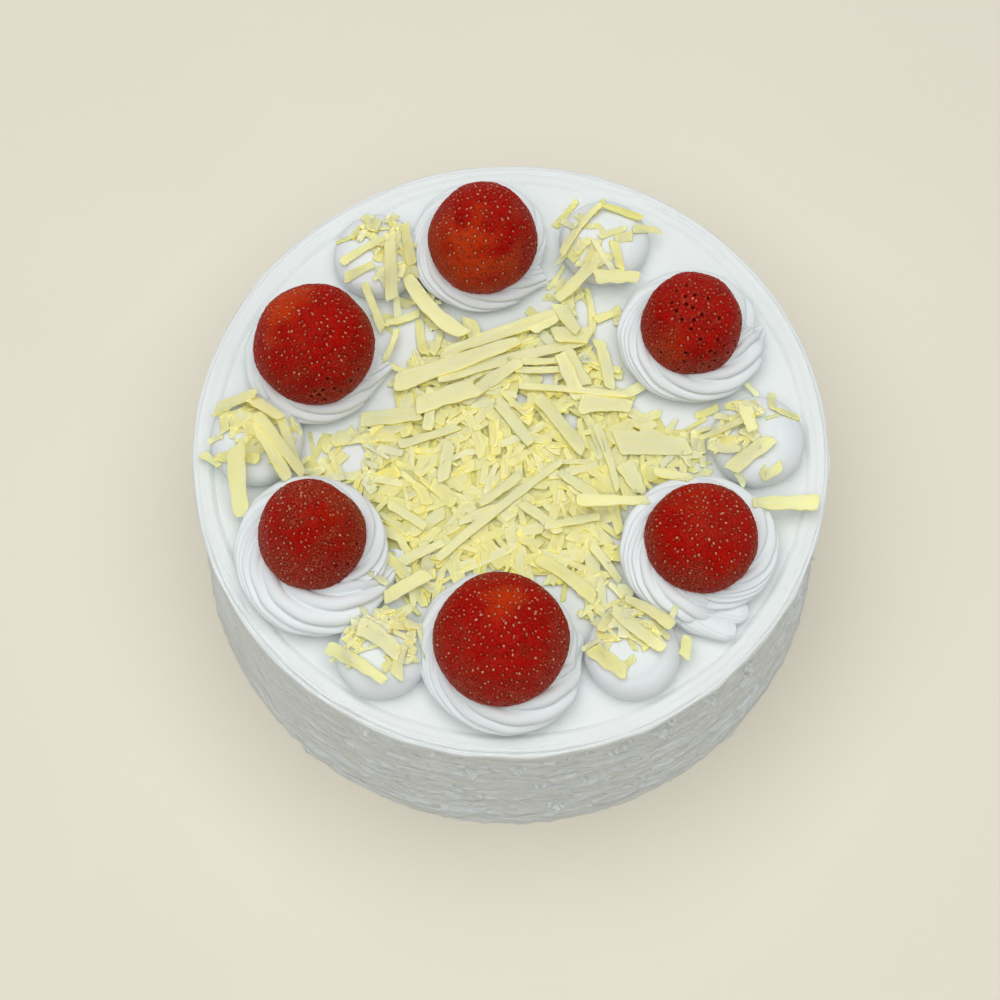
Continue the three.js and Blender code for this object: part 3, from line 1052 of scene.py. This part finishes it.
# How far the thick of the heap reaches each way: turn and distance, round from the left
heapReach = (
    (-180, 44), (-161, 49), (-139, 51), (-124, 53), (-112, 42), (-95, 35), (-72, 41), (-59, 47), (-43, 34),
    (-17, 37), (-4, 51), (11, 40), (35, 38), (52, 38), (90, 36), (124, 38), (149, 38), (166, 38), (180, 44),
)

# x, y and radius of the places where the cream shows through
heapGaps = (
    (-32, 30, 5.5), (-23, 33.5, 3), (-17, 36.5, 4), (-4.5, 37, 6), (-35.5, 16, 5), (8, 28, 4),
    (10, 21.5, 4), (4, 15, 2.4), (-40, 7.5, 2.4), (16.5, 7.5, 3), (28, 33, 5.5), (31, 19.5, 3.6),
    (-44, -2, 3.6), (24, 41, 3.6), (38, 12, 3.6), (-8, 42, 4), (-45, 52, 5.5), (34.5, 54.5, 5.5),
    (77, -2, 6), (40, -69, 7), (-38, -74, 6), (-80, -7, 5.5),
)

# lines that the smaller shavings lie along, from the heap out to each kiss: from, to, spread, how many
arms = (
    ((-20, 42), (-38, 62), 5.5, 42),
    ((18, 38), (27, 64), 6.0, 34),
    ((52, -3), (69, 3), 6.0, 44),
    ((27, -44), (34, -60), 5.5, 44),
    ((-30, -42), (-41, -62), 6.0, 48),
    ((-50, -4), (-77, 4), 7.0, 62),
)

heap = {
    "bedRise": 2.6,  # of the layer of small bits under the strips
    "bedShare": 0.92,  # how far out it goes, of the whole heap
    "bedUnder": 4.5,
    "gapDepth": 3.4,
    "reach": 0.98,  # of the small ones, of the whole heap
    "count": 700,
    "tries": 6000,
    "readLevel": 68,  # that the places of the large ones are for
    "nearer": 0.4,  # how much nearer the front for each millimetre higher
}

# contact: share of the ground under a strip that it lies above
# ceiling: how high it may lie over the cream and the bed; paler: added to its tint
shavings = {
    "heap": {"length": (5, 22, 9), "width": (0.9, 4.6, 1.7), "thick": 0.22, "contact": 0.86, "ceiling": 1.5,
             "paler": 0.0},
    "arm": {"length": (3, 11, 5), "width": (1, 2.8), "thick": 0.22, "contact": 0.9, "ceiling": 2.2,
            "paler": 0.25},
    "large": {"thick": 0.3, "contact": 0.99, "ceiling": None, "paler": 0.0},
}

# x, y, length, turn and width of the shavings that can be told apart, the lowest first
heapStrips = (
    (1, 26.5, 44, 15, 3.5), (10, 26, 14, 3, 1.8), (10, 23, 17, 3, 2), (-34, 31, 11.5, 72, 1.7),
    (-25, 33.5, 12, -82, 2.6), (-21, 32, 8.5, 70, 2.3), (-31, 40, 11, 20, 2.3), (-11, 36, 8, -70, 4),
    (17, 44, 7.5, -85, 3.6), (23, 42.5, 15, -86, 2), (28, 40, 7.5, 20, 2.4), (19, 24, 12, -65, 4),
    (-29, -21, 13, -34, 2.6), (-25, -32, 14, 25, 2.6), (26, -35, 13, -52, 2.6), (8, -22, 14, -39, 2.9),
    (-9, -21, 12, 21, 2.6), (19, -12, 13, -34, 2.9), (45, -10, 11, -16, 2.9), (-3, -13, 14, 38, 2.6),
    (1, 7, 17, -55, 3.4), (27, 25, 16, -79, 3.4), (17, 21, 15, -69, 4), (-34, 9, 17, 3, 4.6),
    (-5.5, 19.5, 21, 36, 4), (15, -40, 20, -37, 3.7), (17, -23, 16, 12, 2.3), (28, -17, 20, -2, 3.1),
    (-23, 3, 18, 16, 2.6), (-18, -5, 12, 80, 3.4), (-3, -19, 45, 39, 2.6), (14, 6, 21, -52, 4),
    (34, -10, 10, -62, 4.6), (27, -4, 21, -74, 2.3), (40, 0, 21, -4, 6.3), (27, 12, 15, 0, 4.9),
    (18, 17, 31, -6, 2), (18, 34, 11, 0, 5.4), (-23, 11, 13, -95, 3.1), (-18, 15, 18, 18, 5.7),
    (-3, 34, 35, 20, 4), (-15, 26, 38, 20, 4.9), (10, 37.5, 8.5, 25, 2.3),
)
armStrips = (
    (-39, 43, 13, -66, 2.3), (-34, 55, 14, -89, 3.4), (-42, 61, 14, 26, 2.3), (-43, 55, 9, 16, 2.3),
    (-39, 68, 5, -96, 4), (-29, 63, 13, -81, 2.9), (-20, 50, 21, -36, 2.3), (-19, 45, 24, -46, 4.3),
    (17, 73, 11, 52, 2), (21, 67, 18, 49, 2.3), (33, 72, 12, -15, 2.6), (40, 67, 9, 17, 2),
    (17, 39, 11, -60, 4), (19, 51, 13, 36, 3.4), (31, 59, 8, -75, 2.6), (31, 53, 13, 5, 3.4),
    (60, 5, 15, 12, 2), (66, 7, 8, -76, 3.4), (67, -1, 14, 32, 4), (73, -7, 5, 29, 2.3),
    (75, -17, 19, 5, 4.3), (47, -59, 7, -101, 2.9), (26, -62, 12, -41, 4), (37, -49, 16, -39, 3.4),
    (34, -53, 18, -41, 3.4), (-46, -47, 12, -86, 2.9), (-29, -41, 14, 30, 3.4), (-30, -62, 9, -102, 2.9),
    (-36, -56, 14, -38, 4.6), (-42, -62, 20, -36, 3.1), (-86, -1, 8, -43, 2), (-60, 4, 13, -70, 2.6),
    (-66, -2, 15, -56, 3.4), (-76, 0, 13, -9, 2.6), (-68, 10, 11, -36, 3.4), (-77, 13, 13, 8, 4),
    (-64, 1, 18, -47, 3.4), (-75, -11, 17, -87, 4.9),
)


# the cells of the ground that lie in a gap
groundGaps = np.zeros((groundCount, groundCount), bool)
cellPlaces = np.arange(groundCount) * ground["step"] - ground["reach"]
for gapX, gapY, gapRadius in heapGaps:
    groundGaps |= np.hypot(cellPlaces[:, None] - gapX, cellPlaces[None] - gapY) < gapRadius


def groundCell(values):
    cells = np.rint((np.asarray(values) + ground["reach"]) / ground["step"]).astype(int)
    return np.clip(cells, 0, groundCount - 1)


def vertexPlaces(piece):
    places = np.empty(3 * len(piece.data.vertices))
    piece.data.vertices.foreach_get("co", places)
    return places.reshape(-1, 3) / mm


def addToGround(piece):
    x, y, level = vertexPlaces(piece).T
    np.maximum.at(groundHeight, (groundCell(x), groundCell(y)), level)


def blockGround(piece):
    x, y, _ = vertexPlaces(piece).T
    for right in (-0.8, 0, 0.8):
        for back in (-0.8, 0, 0.8):
            groundBlocked[groundCell(x + right), groundCell(y + back)] = True


def gapAt(x, y):
    # 1 in the middle of a gap, 0 away from all of them
    return max(smooth(1.5 - math.hypot(x - right, y - back) / radius) for right, back, radius in heapGaps)


def bedLevel(x, y, share):
    rise = heap["bedRise"] * (1 - share ** 3) - heap["gapDepth"] * gapAt(x, y)
    felt = 0.8 * noise((x / 1.7, y / 1.7, 5)) + 0.6 * abs(noise((x / 0.9, y / 0.9, 9)))
    return cakeTop - 0.4 + rise + felt


def addBed():
    # a low bed of small bits, in deep gold that shows between the strips: a painted golden shade
    bed = addBall(200, 120, mm)

    def spreadOut(point):
        down, angle = onSphere(point)
        turn = math.degrees(angle)
        share = 2 * min(down, 1 - down)
        place = placeAt(turn, heap["bedShare"] * alongPoints(turn, heapReach) * share)
        place.z = bedLevel(place.x, place.y, share) if down < 0.5 else cakeTop - heap["bedUnder"]
        return place

    sculpt(bed, spreadOut)
    storeOnPoints(bed, "tint", np.full(len(bed.data.vertices), 0.3, np.float32))
    keep(bed, "shavingsHeapBed", whiteChocolate, "shavings", "shavings_heap")
    return bed


def turned(spot, along, across):
    # the x and y of what lies so far along and across a strip, from its middle
    x, y, _, turn, _ = spot
    angle = math.radians(turn)
    return (
        x + along * math.cos(angle) - across * math.sin(angle),
        y + along * math.sin(angle) + across * math.cos(angle),
    )


def restStrip(spot, contact, rng):
    # where a strip comes to rest, with the cells under it and its level over them, or None over a berry
    _, _, length, _, width = spot
    along = np.linspace(-length / 2, length / 2, max(5, int(length / 0.6)))[:, None]
    across = np.linspace(-width / 2, width / 2, max(3, int(width / 0.6)))[None]
    xs, ys = turned(spot, along, across)
    cells = (groundCell(xs), groundCell(ys))
    if groundBlocked[cells].any() or np.hypot(xs, ys).max() > ground["edge"]:
        return None
    under = groundHeight[cells]
    square = along ** 2 - (along ** 2).mean()

    def fit(shape, other):
        return (under * shape).sum() / (other.size * (shape ** 2).sum())

    slope = clamp(fit(along, across) + rng.gauss(0, 0.02), 0.7)
    roll = clamp(fit(across, along) + rng.gauss(0, 0.03), 0.5)
    bend = clamp(0.8 * fit(square, across), 0.012)
    plate = slope * along + roll * across + bend * along ** 2
    level = np.quantile(under - plate, contact)
    return level, slope, roll, bend, cells, plate + level


def layStrip(model, spot, kind, rng):
    # one strip: its vertex places in metres, tint and place on the UV map, or None where it doesn't fit
    rest = restStrip(spot, kind["contact"], rng)
    if rest is None:
        return None
    middle, slope, roll, bend, cells, plate = rest
    if kind["ceiling"] is not None:
        if (plate - bareHeight[cells]).mean() > kind["ceiling"] or groundGaps[cells].mean() > 0.2:
            return None
    groundHeight[cells] = np.maximum(groundHeight[cells], plate + kind["thick"])
    _, _, length, _, width = spot
    skews = (rng.uniform(-0.5, 0.5), rng.uniform(-0.5, 0.5))
    curls = (rng.uniform(-0.2, 0.6), rng.uniform(-0.2, 0.6))
    bow = rng.gauss(0, 0.03) * length
    taper = rng.uniform(-0.5, 0.5)
    cup = rng.uniform(-0.03, 0.08) * width
    seed = rng.uniform(0, 100)
    places = []
    for vertex in model.data.vertices:
        u, v = math.sin(math.pi * vertex.co.x), 2 * vertex.co.y  # from -1 to 1
        widen = (1 + 0.5 * taper * u + 0.2 * noise((2.2 * u + seed, 0, 0))) * (1 - 0.3 * u ** 16)
        edge = 0.16 * noise((6 * u + seed, v, 1)) * min(1, 3 / width)
        ragged = 0.5 * noise((2.5 * v, seed, 5))
        along = (u * length + u ** 4 * (skews[int(u > 0)] * v * width + ragged)) / 2
        across = (v * widen + edge) * width / 2 + bow * (1 - u ** 2)
        level = middle + slope * along + roll * across + bend * along ** 2
        level += cup * v ** 2 + 0.12 * noise((1.5 * u, 4 * v + seed, 3)) + curls[int(u > 0)] * u ** 6
        places.append((*turned(spot, along, across), level))
    # lower strips lean to the deep gold, a painted golden shade; the rest is random tone
    tint = kind["paler"] + 0.25 + 0.25 * (middle - float(bareHeight[cells].mean())) + rng.gauss(0, 0.13)
    shift = (rng.uniform(0, 50), rng.uniform(0, 50))
    return {"places": np.array(places) * mm, "tint": tint, "flat": ((0.1 * length, 0.1 * width), shift)}


def addStripModel(alongCuts, acrossCuts):
    deselectAll()
    bpy.ops.mesh.primitive_grid_add(x_subdivisions=alongCuts, y_subdivisions=acrossCuts, size=1)
    return bpy.context.object


def layMany(rng, kindName, count, tries, findPlace):
    kind = shavings[kindName]
    strips = []
    for _ in range(tries):
        if len(strips) == count:
            break
        x, y = findPlace()
        if kindName == "heap" and gapAt(x, y) > 0.2:
            continue
        size = (draw(rng, kind["length"]), rng.uniform(0, 180), draw(rng, kind["width"]))
        strip = layStrip(shortModel, (x, y, *size), kind, rng)
        if strip:
            strips.append(strip)
    return strips


def layHeap(rng):
    def findPlace():
        turn = rng.uniform(-180, 180)
        out = alongPoints(turn, heapReach) * math.sqrt(rng.random()) * heap["reach"]
        return placeAt(turn, out).xy

    return layMany(rng, "heap", heap["count"], heap["tries"], findPlace)


def layArm(rng, start, end, spreadWidth, count):
    def findPlace():
        share = rng.random()
        return [mix(start[axis], end[axis], share) + rng.gauss(0, spreadWidth) for axis in (0, 1)]

    return layMany(rng, "arm", count, 8 * count, findPlace)


def layLarge(rng, spots):
    # the places are as if all lay at one level: what lies higher is nearer the front
    kind = shavings["large"]
    strips = []
    nudges = [(0, 0), (-1, -1), (1, -1), (-1, 1), (1, 1), (-2, -2), (2, -2), (-2, 1), (2, 1), (0, -3)]
    for x, y, *size in spots:
        for right, back in nudges:
            rest = restStrip((x + right, y + back, *size), kind["contact"], rng)
            if not rest:
                continue
            lift = heap["nearer"] * (rest[0] + 1 - heap["readLevel"])
            strip = layStrip(longModel, (x + right, y + back - lift, *size), kind, rng)
            if strip:
                strip["tint"] = min(0.75, max(0.35, strip["tint"]))
                strips.append(strip)
                break
        else:
            print("no room for the shaving at", x, y)
    return strips


def finishStrips(name, model, strips, kindName, *nodes):
    piece = meshOfCopies(
        name, model, *([strip[part] for strip in strips] for part in ("places", "tint", "flat"))
    )
    pick(piece)
    solid = piece.modifiers.new("thickness", "SOLIDIFY")
    solid.thickness, solid.offset = shavings[kindName]["thick"] * mm, 1
    bpy.ops.object.modifier_apply(modifier=solid.name)
    # side faces of the strips, which take the rim colour: a painted golden shade
    shadedSides = [float(abs(face.normal.z) < 0.45) for face in piece.data.polygons]
    piece.data.attributes.new("rim", "FLOAT", "FACE").data.foreach_set("value", shadedSides)
    keep(piece, name, whiteChocolate, "shavings", *nodes, crease=40)


for piece in kissPieces + rosettePieces:
    addToGround(piece)
for piece in berryPieces:
    blockGround(piece)
addToGround(addBed())
bareHeight = groundHeight.copy()

longModel = addStripModel(16, 5)
shortModel = addStripModel(8, 2)
stripRandom = random.Random(11)
heapFill = layHeap(stripRandom)
armFill = [strip for arm in arms for strip in layArm(stripRandom, *arm)]
heapLarge = layLarge(stripRandom, heapStrips)
armLarge = layLarge(stripRandom, armStrips)
finishStrips("shavingsHeapFilling", shortModel, heapFill, "heap", "shavings_heap")
finishStrips("shavingsHeapLarge", longModel, heapLarge, "large", "shavings_heap")
finishStrips("shavingsOnKisses", shortModel, armFill, "arm")
finishStrips("shavingsOnKissesLarge", longModel, armLarge, "large")
for model in (longModel, shortModel):
    bpy.data.objects.remove(model)
print("shavings laid:", len(heapFill), len(armFill), len(heapLarge), len(armLarge))


# Floor and light

# the lamp's size and place are in metres
studio = {
    "floor": (0.91, 0.85, 0.71),
    "world": (0.93, 0.97, 1.0),
    "worldStrength": 0.25,
    "lampPower": 14.1,
    "lampSize": 1.5,
    "lampPlace": (-0.04, -0.045, 1.24),
}


def addFloor():
    deselectAll()
    bpy.ops.mesh.primitive_plane_add(size=6, location=(0, 0, -0.0002))
    floor = bpy.context.object
    floor.name = "floor"
    material, tree, shader = newMaterial("floorBoard", Roughness=0.8)
    _, patches = grain(tree, 2.0, 60.0, 0.0)
    darker = tuple(0.97 * value for value in studio["floor"])
    feed(tree, shader, {"Base Color": colourMix(tree, patches, darker, studio["floor"])})
    floor.data.materials.append(material)


def addLights():
    world = bpy.context.scene.world or bpy.data.worlds.new("world")
    bpy.context.scene.world = world
    world.use_nodes = True
    background = world.node_tree.nodes["Background"]
    background.inputs["Color"].default_value = (*studio["world"], 1)
    background.inputs["Strength"].default_value = studio["worldStrength"]
    bpy.ops.object.light_add(type="AREA", location=studio["lampPlace"])
    lamp = bpy.context.object
    lamp.data.size = studio["lampSize"]
    lamp.data.energy = studio["lampPower"]
    aim = -Vector(studio["lampPlace"]) + Vector((0, 0, 0.06))
    lamp.rotation_euler = aim.to_track_quat("-Z", "Y").to_euler()


addFloor()
addLights()
bpy.context.scene.view_settings.view_transform = "Standard"
print("floor and lights set")
